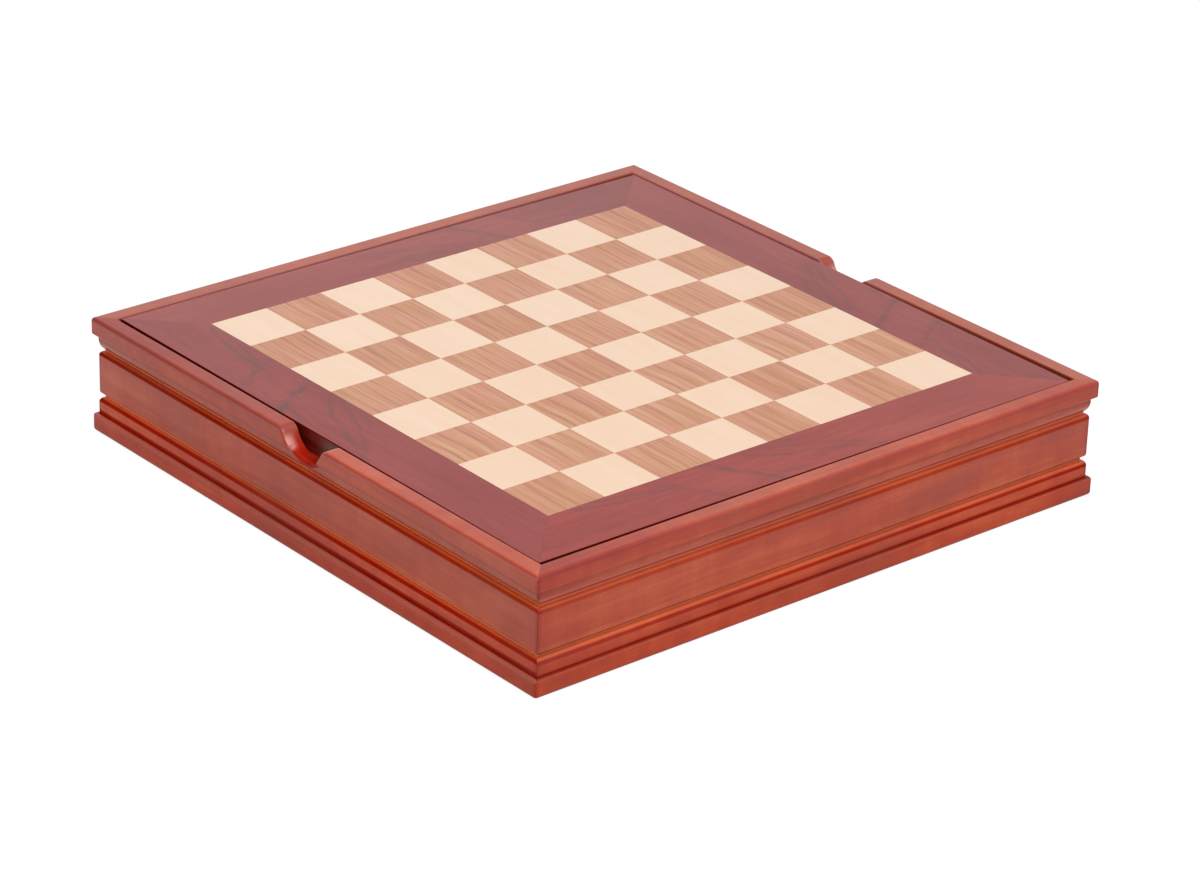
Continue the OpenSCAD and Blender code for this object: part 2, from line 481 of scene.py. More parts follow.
# the stained lines along a wall, stain with painted shade under the lips and in the quirk: heights of the line under
# each lip and over the plinth, and how deep each is at the near end and further on; how far the lacquer is gone there,
# near and far; heights and colours of the rubbed lips with their painted highlight, and of the creases over them with
# their painted light, shade and reflection
LINES = dict(upper=(42.6, 43.4, 44.5, 45.2), upper_depth=(0.17, 0.11), lower=(15.8, 16.6, 17.6, 18.3), lower_depth=0.42,
             quirk=(9.86, 10.0, 10.2, 11.4), quirk_depth=0.42, bare=(0.35, 0.88),
             rubbed_lit_up=(44.9, 45.4, 45.8, 46.5), rubbed_lit_up_much=(0.30, 0.45), rubbed_lit_up_col=(0.54, 0.092, 0.022),
             rubbed_lit_low=(18.2, 18.8, 19.3, 19.8), rubbed_lit_low_much=(0.75, 0.38), rubbed_lit_low_col=(0.56, 0.110, 0.030),
             crease_up=(45.8, 46.2, 46.6, 47.0), crease_up_col=(0.60, 0.190, 0.115), crease_up_much=0.75,
             crease_low=(19.2, 19.6, 19.9, 20.6), crease_low_col=(0.56, 0.150, 0.075), crease_low_much=0.75,
             shade_sheen_up=(0.25, 0.72), crease_gloss=0.45, lip_k=-0.05, foot_k=-0.09,
             foot_top=(0.60, (0.150, 0.030, 0.018)), foot_top_z=(9.3, 9.85))
LEFT_LINES = dict(LINES, upper=(43.3, 44.2, 45.2, 45.75), upper_depth=(0.20, 0.50), lower=(16.7, 17.6, 18.6, 19.2),
                  lower_depth=0.62, quirk=(10.02, 10.25, 11.7, 13.6), quirk_depth=0.50, bare=(0.85, 0.90),
                  rubbed_lit_up=(45.3, 45.65, 46.3, 46.6), rubbed_lit_up_much=(1.0, 0.32), rubbed_lit_up_col=(0.62, 0.095, 0.016),
                  rubbed_lit_low=(18.9, 19.2, 19.5, 19.8), rubbed_lit_low_much=(0.5, 0.35), rubbed_lit_low_col=(0.60, 0.100, 0.022),
                  crease_up=(46.1, 46.5, 47.5, 49.0), crease_up_col=(0.68, 0.195, 0.095),
                  crease_low=(19.1, 19.5, 20.4, 21.3), crease_low_col=(0.80, 0.175, 0.062), crease_low_much=0.95,
                  shade_sheen_up=(0.0, 0.0), crease_gloss=0.9, foot_k=-0.06, foot_top=(0.60, (0.31, 0.110, 0.085)),
                  foot_top_z=(8.0, 9.3))


def case_wood(name, along, seed=0.0, side=((0.0, 0.0), (1.0, 0.0)), rail=((0.0, 0.0), (1.0, 0.0)),
              rim=((0.0, 0.0), (1.0, 0.0)), dust=0.0, ior=1.45, arris=(0.10, 0.0, 0.0), mauve=0.0, inner=None, glow=None,
              lines=LINES, foot=(1.2, 1.18, 1.0), plinth=0.0, tint=None):
    """Mahogany-stained, lacquered wood; along is 'x' or 'y', the way its grain runs.
    side, rail and rim say how much darker or lighter the colour runs over the length, from the -X or -Y end, on the
    whole side, on its top rail and on the rim; arris is how much darker and duller the rim's outer edge is, stain and
    painted shade, and how much darker just under it, and mauve how much the rim tends to that colour. inner is how
    dark the painted shade on the edge over the rebate is along the wall, glow how light the painted light on the inner
    face. foot is the painted light on bead and plinth, and plinth how much darker the plinth is than the bead. tint is
    a colour over the rim, and where along the wall it starts and is full."""
    t = Tree(name)
    x, y, z = millimetres(t)
    u, w = (y, x) if along == "y" else (x, y)
    us = t.add(u, seed * 431.0)
    g = t.vec(us, w, z)                                  # u runs with the grain
    # slow drift of the grain lines
    drift = t.noise(t.vmul(g, (0.006, 0.03, 0.03)), 1.0, 2.0)
    gg = t.vec(us, t.add(w, t.mul(drift, 9.0)), t.add(z, t.mul(drift, 14.0)))
    fibre = t.noise(t.vmul(gg, (0.045, 2.4, 2.4)), 1.0, 4.0, 0.62)
    band = t.noise(t.vmul(gg, (0.010, 0.30, 0.30)), 1.0, 3.0, 0.55)
    cloud = t.noise(t.vmul(g, (0.016, 0.02, 0.05)), 1.0, 2.0, 0.5)
    ripple = t.noise(t.vmul(g, (0.11, 0.012, 0.016)), 1.0, 3.0, 0.55)   # faint cross figure
    blot = t.noise(t.vmul(g, (0.055, 0.09, 0.13)), 1.0, 3.0, 0.6)       # uneven stain
    pore = t.noise(t.vmul(gg, (0.20, 4.6, 4.6)), 1.0, 2.0, 0.5)
    pore = t.range(pore, 0.62, 0.74)
    k = t.add(t.range(fibre, 0.25, 0.75, 0.955, 1.055, smooth=False),
              t.range(band, 0.3, 0.7, -0.07, 0.07, smooth=False))
    k = t.add(k, t.range(ripple, 0.3, 0.7, -0.05, 0.05, smooth=False))
    k = t.add(k, t.range(cloud, 0.3, 0.7, -0.09, 0.09, smooth=False))
    k = t.add(k, t.range(blot, 0.3, 0.7, -0.05, 0.05, smooth=False))
    k = t.add(k, t.mul(pore, 0.14))
    run = t.range(u, -186.0, 186.0, 0.0, 1.0, smooth=False)
    on_rim = t.range(z, 62.4, 63.6)
    deep_side = t.math("SUBTRACT", t.ramp(run, [(p, v + 0.5) for p, v in side], "B_SPLINE"), 0.5)
    deep_rim = t.math("SUBTRACT", t.ramp(run, [(p, v + 0.5) for p, v in rim], "B_SPLINE"), 0.5)
    deep_rail = t.math("SUBTRACT", t.ramp(run, [(p, v + 0.5) for p, v in rail], "B_SPLINE"), 0.5)
    deep_side = t.add(deep_side, t.mul(deep_rail, t.range(z, 49.0, 53.0)))
    below = t.math("SUBTRACT", 1.0, on_rim)
    k = t.add(k, t.add(t.mul(deep_side, below), t.mul(deep_rim, on_rim)))
    # darker towards the mitred corners: a dark mitre joint, and painted shade on the rounded corners and the rail near
    # them
    mitre = t.math("ABSOLUTE", t.math("SUBTRACT", t.math("ABSOLUTE", x), t.math("ABSOLUTE", y)))
    k = t.add(k, t.mul(t.mul(t.range(mitre, 3.2, 0.4), below), 0.24))
    k = t.add(k, t.mul(t.mul(t.range(mitre, 24.0, 3.0), t.mul(below, t.range(z, 49.0, 53.0))), 0.09))

    def level(a, b, c, d):
        """1 between heights b and c, 0 below a and above d."""
        return t.mul(t.range(z, a, b), t.range(z, d, c))

    # stain gathers under the two lips and over the plinth, where the lacquer is thin, darkened further as painted shade
    # under the lips and in the quirk; the lips are rubbed lighter and carry a painted highlight
    even = t.range(fibre, 0.25, 0.75, 0.94, 1.08, smooth=False)
    patchy = t.range(t.noise(t.vmul(g, (0.02, 0.02, 0.02)), 1.0, 2.0), 0.3, 0.6, 0.75, 1.0)
    far = t.range(run, 0.0, 0.55, 0.0, 1.0)

    def along_it(pair):
        return t.range(far, 0.0, 1.0, pair[0], pair[1], smooth=False)

    out = t.math("MAXIMUM", t.math("ABSOLUTE", x), t.math("ABSOLUTE", y))
    ledge = t.mul(level(9.86, 9.95, 10.3, 10.5), t.range(out, X0 - 1.5, X0 - 2.2))
    under_up, under_low = level(*lines["upper"]), level(*lines["lower"])
    over_foot = t.math("MAXIMUM", level(*lines["quirk"]), ledge)
    k = t.add(k, t.mul(under_up, along_it(lines["upper_depth"])))
    k = t.add(k, t.mul(under_low, lines["lower_depth"]))
    k = t.add(k, t.mul(over_foot, lines["quirk_depth"]))
    # painted shade on the band just over the quirk
    k = t.add(k, t.mul(level(10.1, 10.3, 11.4, 13.4), 0.10))
    # painted light in the crease over the bead, lifting its shade
    k = t.add(k, t.mul(t.math("MAXIMUM", level(22.3, 22.9, 24.3, 26.0), level(21.6, 22.2, 23.3, 24.0)), lines["foot_k"]))
    k = t.add(k, t.mul(level(21.6, 22.2, 23.2, 23.8), -0.08))
    k = t.add(k, t.mul(t.range(z, 10.2, 9.7), plinth))
    bare = t.math("MAXIMUM", t.math("MAXIMUM", under_up, under_low), over_foot)
    gloss = t.math("SUBTRACT", 1.0, t.mul(bare, along_it(lines["bare"])))
    crease = t.math("MAXIMUM", level(46.2, 46.7, 47.4, 48.2), level(20.0, 20.5, 21.3, 21.7))
    gloss = t.mul(gloss, t.range(crease, 0.0, 1.0, 1.0, lines["crease_gloss"], smooth=False))
    # the rim's outer edge darker and duller, stain and painted shade over its highlight, and darker just under it
    edge = level(62.7, 63.3, 64.3, 64.9)
    k = t.add(k, t.mul(edge, arris[0]))
    k = t.add(k, t.mul(level(58.0, 61.5, 63.2, 63.8), arris[2]))
    # painted light on the ovolo, which faces a little down
    k = t.add(k, t.mul(level(47.5, 49.0, 52.0, 55.0), lines["lip_k"]))
    col = t.power((0.36, 0.041, 0.0100), k)
    # painted light: bead and plinth lighter than the rest
    low = t.range(z, 22.5, 21.5)
    col = t.mix(low, col, t.mix(1.0, col, foot, "MULTIPLY"))
    # on the plinth's rounded top: a painted highlight on the left wall, painted shade on the others
    top_out = t.mul(level(*lines["foot_top_z"], 10.02, 10.1), t.range(out, X0 - 2.2, X0 - 1.4))
    col = t.mix(t.mul(top_out, lines["foot_top"][0]), col, lines["foot_top"][1])
    # over the upper lip, a painted shadow and a painted reflection; the creases over both lips lightened with painted
    # light
    col = t.mix(t.mul(level(46.3, 46.7, 47.2, 48.2), lines["shade_sheen_up"][0]), col, (0.42, 0.098, 0.050))
    col = t.mix(t.mul(level(47.9, 48.7, 49.7, 51.0), lines["shade_sheen_up"][1]), col, (0.44, 0.112, 0.088))
    col = t.mix(t.mul(level(*lines["crease_up"]), lines["crease_up_much"]), col, lines["crease_up_col"])
    if lines is LEFT_LINES:
        col = t.mix(t.mul(level(46.0, 46.3, 47.0, 47.5), 0.35), col, (0.74, 0.215, 0.110))
    col = t.mix(t.mul(level(*lines["crease_low"]), lines["crease_low_much"]), col, lines["crease_low_col"])
    # the lips lighter: rubbed, and a painted highlight, strongest at the near end
    upper = t.mul(level(*lines["rubbed_lit_up"]), t.mul(patchy, along_it(lines["rubbed_lit_up_much"])))
    col = t.mix(upper, col, t.power(lines["rubbed_lit_up_col"], even))
    lower = t.mul(level(*lines["rubbed_lit_low"]), t.mul(patchy, along_it(lines["rubbed_lit_low_much"])))
    col = t.mix(lower, col, t.power(lines["rubbed_lit_low_col"], even))
    # the hollow of a finger notch has taken more stain and lost its lacquer, and is painted darker towards the near
    # flank as shade; its flanks carry a painted highlight
    if along == "y":
        dz = t.math("SUBTRACT", z, NOTCH_C)
        reach = t.math("SQRT", t.add(t.mul(u, u), t.mul(dz, dz)))
        hollow = t.mul(t.range(reach, NOTCH_R + 3.0, NOTCH_R + 2.2), t.range(out, X0 - 0.5, X0 - 1.3))
        col = t.mix(t.mul(t.mul(hollow, t.range(z, 62.0, 58.0)), 0.88), col,
                    t.power((0.36, 0.007, 0.0005), t.add(k, t.range(u, 5.0, -5.0, 0.0, 0.30))))
        gloss = t.mul(gloss, t.range(t.mul(hollow, t.range(z, 59.0, 56.0)), 0.0, 1.0, 1.0, 0.25, smooth=False))
        flank_highlight = t.mul(t.range(t.math("ABSOLUTE", u), 8.5, 11.5), t.mul(t.range(out, X0 - 7.0, X0 - 2.4), t.range(z, 63.0, 59.0)))
        flank_highlight = t.mul(t.mul(flank_highlight, hollow), t.range(z, 53.2, 55.4))
        col = t.mix(t.mul(flank_highlight, 0.68), col, (0.74, 0.34, 0.30))
    dull = t.mul(t.range(cloud, 0.42, 0.78, 0.0, 0.32), 1.0)
    col = t.mix(t.add(dull, dust), col, (0.235, 0.058, 0.036))
    # painted shade dulling the rim's outer edge
    if arris[1]:
        col = t.mix(t.mul(edge, arris[1]), col, (0.235, 0.066, 0.060))
    if mauve:
        col = t.mix(t.mul(on_rim, mauve), col, (0.45, 0.092, 0.110))
    if tint:
        col = t.mix(t.mul(on_rim, t.range(run, tint[1], tint[2])), col, t.mix(1.0, col, tint[0], "MULTIPLY"))
    # painted shade of the gap on the rim's inner edge, along the wall
    if inner:
        wide = 0.30 if along == "x" else 0.0
        shade = t.mul(t.range(out, OPEN_HALF + 0.62 + wide, OPEN_HALF + 0.18 + wide), t.range(z, 62.0, 63.0))
        shade = t.mul(shade, t.ramp(run, inner, "B_SPLINE"))
        col = t.mix(shade, col, (0.075, 0.004, 0.002))
        gloss = t.mul(gloss, t.range(shade, 0.0, 1.0, 1.0, 0.35, smooth=False))
    # painted light on the rim's inner face above the board
    if glow:
        face = t.mul(t.range(out, OPEN_HALF + 0.75, OPEN_HALF + 0.35), t.range(z, 63.1, 63.6))
        col = t.mix(t.mul(face, t.ramp(run, glow, "B_SPLINE")), col, (0.37, 0.112, 0.100))
    fine = t.bump(t.add(t.mul(fibre, 0.6), t.mul(pore, -0.5)), 0.12, 0.0002)
    return t.surface(col, 0.45, fine, coat=gloss, coat_rough=0.22, specular=0.0, coat_ior=ior)


def plain_wood(name, along, color, coat=0.6, seed=0.0, rough=0.5, worn=None):
    """A quieter lacquered wood, for the dividers, lippings and backing; worn is a lighter colour, painted light, on the
    -Y side of the notches.
    """
    t = Tree(name)
    x, y, z = millimetres(t)
    u, w = (y, x) if along == "y" else (x, y)
    g = t.vec(t.add(u, seed * 97.0), w, z)
    fibre = t.noise(t.vmul(g, (0.05, 2.0, 2.0)), 1.0, 4.0, 0.6)
    band = t.noise(t.vmul(g, (0.01, 0.22, 0.22)), 1.0, 3.0, 0.55)
    pore = t.range(t.noise(t.vmul(g, (0.20, 4.6, 4.6)), 1.0, 2.0, 0.5), 0.62, 0.74)
    k = t.add(t.range(fibre, 0.25, 0.75, 0.88, 1.14, smooth=False),
              t.range(band, 0.3, 0.7, -0.12, 0.12, smooth=False))
    k = t.add(k, t.mul(pore, 0.18))
    fine = t.bump(t.add(t.mul(fibre, 0.6), t.mul(pore, -0.5)), 0.15, 0.0002)
    col = t.power(color, k)
    if worn:
        # painted light on the edge seen through the notch
        col = t.mix(t.mul(t.range(u, 5.0, -9.0), t.range(u, -34.0, -26.0)), col, worn)
    return t.surface(col, rough, fine, coat=coat, coat_rough=0.2, specular=0.1)


def cell_noise(t, i, j, w):
    n = t.new("ShaderNodeTexWhiteNoise", noise_dimensions="3D")
    t.set(n.inputs["Vector"], t.vec(i, j, w))
    return n.outputs["Value"]


def maple(name):
    t = Tree(name)
    x, y, z = on_field(t)
    i, j = t.math("FLOOR", t.mul(x, 1 / SQUARE)), t.math("FLOOR", t.mul(y, 1 / SQUARE))
    rnd = cell_noise(t, i, j, 0.5)
    g = t.vec(x, t.mul(y, 0.03), t.mul(rnd, 40.0))
    fibre = t.noise(t.vmul(g, (1.6, 1.6, 1.0)), 1.0, 3.0, 0.6)
    band = t.noise(t.vmul(g, (0.16, 0.5, 1.0)), 1.0, 2.0, 0.5)
    fleck = t.range(t.noise(t.vec(t.mul(x, 1.9), t.mul(y, 0.28), t.mul(rnd, 9.0)), 1.0, 1.0, 0.5), 0.60, 0.72)
    k = t.add(t.range(fibre, 0.25, 0.75, 0.95, 1.05, smooth=False),
              t.range(band, 0.3, 0.7, -0.05, 0.05, smooth=False))
    k = t.add(k, t.range(rnd, 0.0, 1.0, -0.035, 0.035, smooth=False))
    k = t.add(k, t.mul(fleck, 0.05))
    col = t.power((0.80, 0.572, 0.415), k)
    return t.surface(col, 0.4, t.bump(fibre, 0.05, 0.0001), coat=1.0, coat_rough=0.14, specular=0.0)


def walnut(name):
    t = Tree(name)
    x, y, z = on_field(t)
    i, j = t.math("FLOOR", t.mul(x, 1 / SQUARE)), t.math("FLOOR", t.mul(y, 1 / SQUARE))
    lx = t.math("SUBTRACT", x, t.mul(i, SQUARE))
    ly = t.math("SUBTRACT", y, t.mul(j, SQUARE))
    rnd = cell_noise(t, i, j, 3.0)
    rowv = cell_noise(t, 0.0, j, 11.5)
    # squares of one row are leaves of one stack: the same streaks, moved a little
    sx = t.add(lx, t.add(t.mul(rnd, 2.4), t.mul(rowv, 400.0)))
    sway = t.noise(t.vec(t.mul(sx, 0.02), t.mul(ly, 0.022), t.mul(rnd, 1.2)), 1.0, 1.0)
    sx = t.add(sx, t.mul(sway, 4.0))
    g = t.vec(sx, t.mul(ly, 0.022), t.mul(rnd, 0.25))
    streak = t.noise(t.vmul(g, (0.30, 0.5, 1.0)), 1.0, 2.0, 0.6)
    line = t.noise(t.vmul(g, (0.95, 0.9, 2.0)), 1.0, 2.0, 0.6)
    fibre = t.noise(t.vmul(g, (2.6, 3.0, 6.0)), 1.0, 2.0, 0.6)
    k = t.add(t.range(streak, 0.30, 0.70, 0.83, 1.17, smooth=False),
              t.range(line, 0.30, 0.70, -0.12, 0.12, smooth=False))
    k = t.add(k, t.range(fibre, 0.25, 0.75, -0.07, 0.07, smooth=False))
    k = t.add(k, t.range(rnd, 0.0, 1.0, -0.06, 0.06, smooth=False))
    # painted shade: darker towards the back, as the light falls off
    k = t.add(k, t.range(y, 55.0, 90.0, 0.0, 0.06))
    tan = t.range(t.noise(t.vec(t.mul(sx, 0.055), t.mul(ly, 0.025), t.mul(rnd, 0.6)), 1.0, 2.0, 0.5), 0.38, 0.60)
    col = t.mix(tan, t.power((0.527, 0.221, 0.123), k), t.power((0.520, 0.230, 0.112), k))
    # dark, greyer lines here and there
    dark = t.mul(t.range(line, 0.56, 0.70), t.range(streak, 0.40, 0.60))
    col = t.mix(t.mul(dark, 0.55), col, (0.20, 0.115, 0.075))
    return t.surface(col, 0.42, t.bump(fibre, 0.06, 0.0001), coat=1.0, coat_rough=0.14, specular=0.0)


def border_veneer(name, side, shift, seed, tone=(0.225, 0.0225, 0.018), depth=1.0):
    """Figured veneer; the four strips are leaves of one stack, each turned a quarter."""
    t = Tree(name)
    x, y, z = on_field(t)
    u, v = {"left": (t.math("SUBTRACT", LID_HALF, y), t.math("SUBTRACT", -FIELD, x)),
            "front": (t.add(x, LID_HALF), t.math("SUBTRACT", -FIELD, y)),
            "right": (t.add(y, LID_HALF), t.math("SUBTRACT", x, FIELD)),
            "rear": (t.math("SUBTRACT", LID_HALF, x), t.math("SUBTRACT", y, FIELD))}[side]
    u = t.add(u, shift)
    uv = t.vec(u, v, seed * 0.35)
    # the lines of the wood wander: a slow drift and a quick one
    slow = t.xyz(t.noise(t.vmul(uv, (0.030, 0.055, 1.0)), 1.0, 2.0, 0.5, color=True))
    quick = t.xyz(t.noise(t.vmul(uv, (0.16, 0.22, 1.0)), 1.0, 3.0, 0.6, color=True))
    uu = t.add(t.add(u, t.range(slow[0], 0.0, 1.0, -6.0, 6.0, smooth=False)), t.range(quick[0], 0.0, 1.0, -1.5, 1.5, smooth=False))
    vv = t.add(t.add(v, t.range(slow[1], 0.0, 1.0, -4.5, 4.5, smooth=False)), t.range(quick[1], 0.0, 1.0, -1.3, 1.3, smooth=False))
    p = t.vec(uu, vv, 0.0)

    def vm(op, a, b=None, out=0):
        n = t.new("ShaderNodeVectorMath", operation=op)
        t.set(n.inputs[0], a)
        if b is not None:
            t.set(n.inputs[3] if op == "SCALE" else n.inputs[1], b)
        return n.outputs[out]

    def vein(points, core, halo):
        """A line through points (u, v): a dark core and a softer halo, by distance."""
        least = None
        for a, b in zip(points, points[1:]):
            ab = (b[0] - a[0], b[1] - a[1], 0.0)
            ll = ab[0] ** 2 + ab[1] ** 2
            q = vm("SUBTRACT", p, (a[0], a[1], 0.0))
            s = t.math("MULTIPLY", vm("DOT_PRODUCT", q, ab, 1), 1 / ll, clamp=True)
            e = vm("SUBTRACT", q, vm("SCALE", ab, s))
            d = vm("LENGTH", e, None, 1)
            least = d if least is None else t.math("MINIMUM", least, d)
        return t.add(t.mul(t.range(least, core, 0.0), 0.5), t.mul(t.range(least, halo, 0.0), 0.5))

    lines = [([(40, 4), (62, 9), (78, 13), (96, 9)], 1.8, 4.8, 0.75),
             ([(52, 1), (74, 6), (94, 13)], 1.6, 4.2, 0.7),
             ([(66, 14), (84, 8), (97, 5)], 1.3, 3.6, 0.5),
             ([(90, 3), (97, 14), (103, 24), (109, 36)], 1.9, 5.2, 0.75),
             ([(119, -2), (127, 7), (130, 17), (136, 27), (143, 36)], 2.2, 5.6, 1.0),
             ([(134, 22), (146, 30), (160, 35)], 1.7, 4.6, 0.45),
             ([(146, 5), (160, 15), (182, 22), (216, 33)], 1.4, 3.6, 0.75),
             ([(152, 1), (172, 9), (190, 18), (208, 27)], 1.3, 3.2, 0.65),
             ([(165, 1), (182, 7), (196, 15)], 1.1, 3.0, 0.5),
             ([(228, 2), (256, 12), (292, 20)], 1.0, 5.5, 0.22),
             ([(12, 20), (36, 25), (70, 26)], 1.0, 5.5, 0.22)]
    dark = None
    for points, core, halo, strength in lines:
        d = t.mul(vein(points, core, halo), strength)
        dark = d if dark is None else t.math("MAXIMUM", dark, d)
    patchy = t.range(t.noise(t.vec(t.mul(u, 0.055), t.mul(v, 0.11), seed * 0.7 + 4.0), 1.0, 2.0), 0.30, 0.60, 0.40, 1.0)
    dark = t.mul(t.mul(dark, patchy), depth)
    soft = t.noise(t.vec(t.mul(uu, 0.012), t.mul(vv, 0.05), seed * 0.3), 1.0, 2.0, 0.5)
    streak = t.noise(t.vec(t.mul(uu, 0.022), t.mul(vv, 0.42), seed * 0.4), 1.0, 3.0, 0.6)
    fibre = t.noise(t.vec(t.mul(u, 0.08), t.mul(v, 1.8), seed), 1.0, 3.0, 0.6)
    k = t.add(t.range(streak, 0.3, 0.7, 0.93, 1.07, smooth=False),
              t.range(fibre, 0.25, 0.75, -0.045, 0.045, smooth=False))
    k = t.add(k, t.range(soft, 0.3, 0.7, -0.08, 0.08, smooth=False))
    fleck = t.range(t.noise(t.vec(t.mul(uu, 0.16), t.mul(vv, 1.1), seed * 2.0), 1.0, 2.0, 0.6), 0.56, 0.72)
    k = t.add(k, t.mul(fleck, 0.12))
    col = t.power(tone, k)
    # redder beyond the last veins
    col = t.mix(t.mul(t.range(u, 190.0, 300.0), 0.25), col, (0.27, 0.022, 0.014))
    if side == "rear":
        col = t.mix(t.mul(t.range(x, 40.0, 150.0), 0.55), col, (0.185, 0.0180, 0.0165))
    col = t.mix(t.mul(dark, 0.74), col, (0.090, 0.019, 0.020))
    return t.surface(col, 0.42, t.bump(fibre, 0.05, 0.0001), coat=1.0, coat_rough=0.14, specular=0.0)


def plywood(name, z0, plies, ply_t, along="x"):
    t = Tree(name)
    x, y, z = millimetres(t)
    u, w = (y, x) if along == "y" else (x, y)
    layer = t.math("MODULO", t.math("FLOOR", t.mul(t.math("SUBTRACT", z, z0), 1 / ply_t)), 2.0)
    face = t.noise(t.vec(t.mul(u, 0.012), t.mul(w, 0.35), z), 1.0, 3.0, 0.6)
    fibre = t.noise(t.vec(t.mul(u, 0.06), t.mul(w, 2.2), t.mul(z, 2.2)), 1.0, 3.0, 0.6)
    k = t.add(t.range(face, 0.3, 0.7, 0.85, 1.2, smooth=False), t.range(fibre, 0.25, 0.75, -0.1, 0.1, smooth=False))
    k = t.add(k, t.mul(layer, 0.35))
    return t.surface(t.power((0.62, 0.42, 0.24), k), 0.6, t.bump(fibre, 0.2, 0.0002), coat=0.0, specular=0.3)


def felt(name):
    t = Tree(name)
    p = t.vmul(t.coords(), (1000.0, 1000.0, 1000.0))
    fuzz = t.noise(p, 3.2, 4.0, 0.7)
    curl = t.noise(p, 0.9, 3.0, 0.6, distort=1.5)
    worn = t.noise(p, 0.03, 2.0, 0.5)
    fleck = t.range(t.noise(p, 1.7, 2.0, 0.6, distort=2.0), 0.62, 0.75)
    col = t.mix(t.range(fuzz, 0.3, 0.7), (0.008, 0.040, 0.018), (0.022, 0.100, 0.046))
    col = t.mix(t.range(worn, 0.35, 0.7, 0.0, 0.3), col, (0.024, 0.085, 0.045))
    col = t.mix(t.mul(fleck, 0.35), col, (0.05, 0.15, 0.08))
    h = t.add(t.mul(fuzz, 0.6), t.mul(curl, 0.5))
    return t.surface(col, 0.95, t.bump(h, 0.6, 0.0005), coat=0.0, specular=0.1, sheen=0.6, sheen_rough=0.6)


# ---------------------------------------------------------------- other pieces
def strip(name, q, rows, material, body, gap, off=0.0):
    """A mitred strip: rows is its closed section as (x, z, hairline), q the side in quarter turns from +X;
    its inner edge is that of a square moved by off towards +Y."""
    m = Mesh()
    a = math.radians(90 * q)
    ca, sa = round(math.cos(a)), round(math.sin(a))
    inner = min(x for x, z, h in rows)
    outer = max(x for x, z, h in rows)

    def put(x, y, z):
        k = off * (outer - x) / (outer - inner)
        return on_lid(x * ca - y * sa, x * sa + y * ca + k, z)

    steps = (-1.0, -0.5, 0.0, 0.5, 1.0)
    lines = [[put(x, s * (x - gap - h), z) for x, z, h in rows] for s in steps]
    n = len(rows)
    for la, lb in zip(lines, lines[1:]):
        for i in range(n):
            j = (i + 1) % n
            m.face(la[i], la[j], lb[j], lb[i])
    for line in (lines[0], lines[-1]):
        flat2 = [Vector((rows[i][0], rows[i][1], 0)) for i in range(n)]
        for tri in tessellate_polygon([flat2]):
            m.face(*[line[i] for i in tri])
    return m.build(name, material, body, sharp=50)


def border_strip(name, q, material):
    a, b, e = FIELD + 0.02, LID_HALF, 0.3
    top = H - RECESS
    rows = [(a, TOP_Z, 0), (a, top - 0.03, 0), (a + 0.03, top, 0.02), (a + 0.15, top, 0.02)]
    rows += [(a + (b - e - a) * k / 3, top, 0.02) for k in (1, 2)] + [(b - e - 0.1, top, 0.02)]
    rows += [(x, z, 0.02) for x, z in reversed(arc(b - e, top - e, e, 0, 90, 6))]
    rows += [(b, TOP_Z, 0)]
    ob = strip(name, q, rows, material, "lid", 0.012, FIELD_Y)
    # the edge is painted nearly black, as shade in the gap, together with the lipping under it
    ob.data.materials.append(EDGE)
    for p in ob.data.polygons:
        if p.center.z < (top - 0.12) * MM:
            p.material_index = 1
    return ob


def lipping_strip(name, q, material):
    a, b = LID_HALF - LIPPING_W, LID_HALF
    z0 = LEDGE + BACKING_T
    rows = [(a, z0, 0), (a, TOP_Z, 0), (b - 0.02, TOP_Z, 0.0), (b - 0.03, TOP_Z - 0.03, 0.02)]
    rows += [(b - 0.03, z0 + (TOP_Z - z0) * k / 3, 0.02) for k in (2, 1)]
    rows += [(b - 0.03, z0 + 0.03, 0.02), (b - 0.02, z0, 0.0)]
    return strip(name, q, rows, material, "lid", 0.012)


def backing_sheet(name, material):
    """The balancing veneer, its lower edge eased all round."""
    m = Mesh()
    e, h = 0.4, LID_HALF
    rings = [(h - e * (1 - math.sin(math.radians(90 * i / 5))), LEDGE + e * (1 - math.cos(math.radians(90 * i / 5))))
             for i in range(6)] + [(h, LEDGE + BACKING_T)]

    def ring(r, z):
        return [on_lid(sx * r, sy * r, z) for sx, sy in ((-1, -1), (1, -1), (1, 1), (-1, 1))]

    loops = [ring(r, z) for r, z in rings]
    for la, lb in zip(loops, loops[1:]):
        for i in range(4):
            j = (i + 1) % 4
            m.face(la[i], la[j], lb[j], lb[i])
    m.face(*loops[0])
    m.face(*loops[-1])
    return m.build(name, material, "lid", sharp=40)


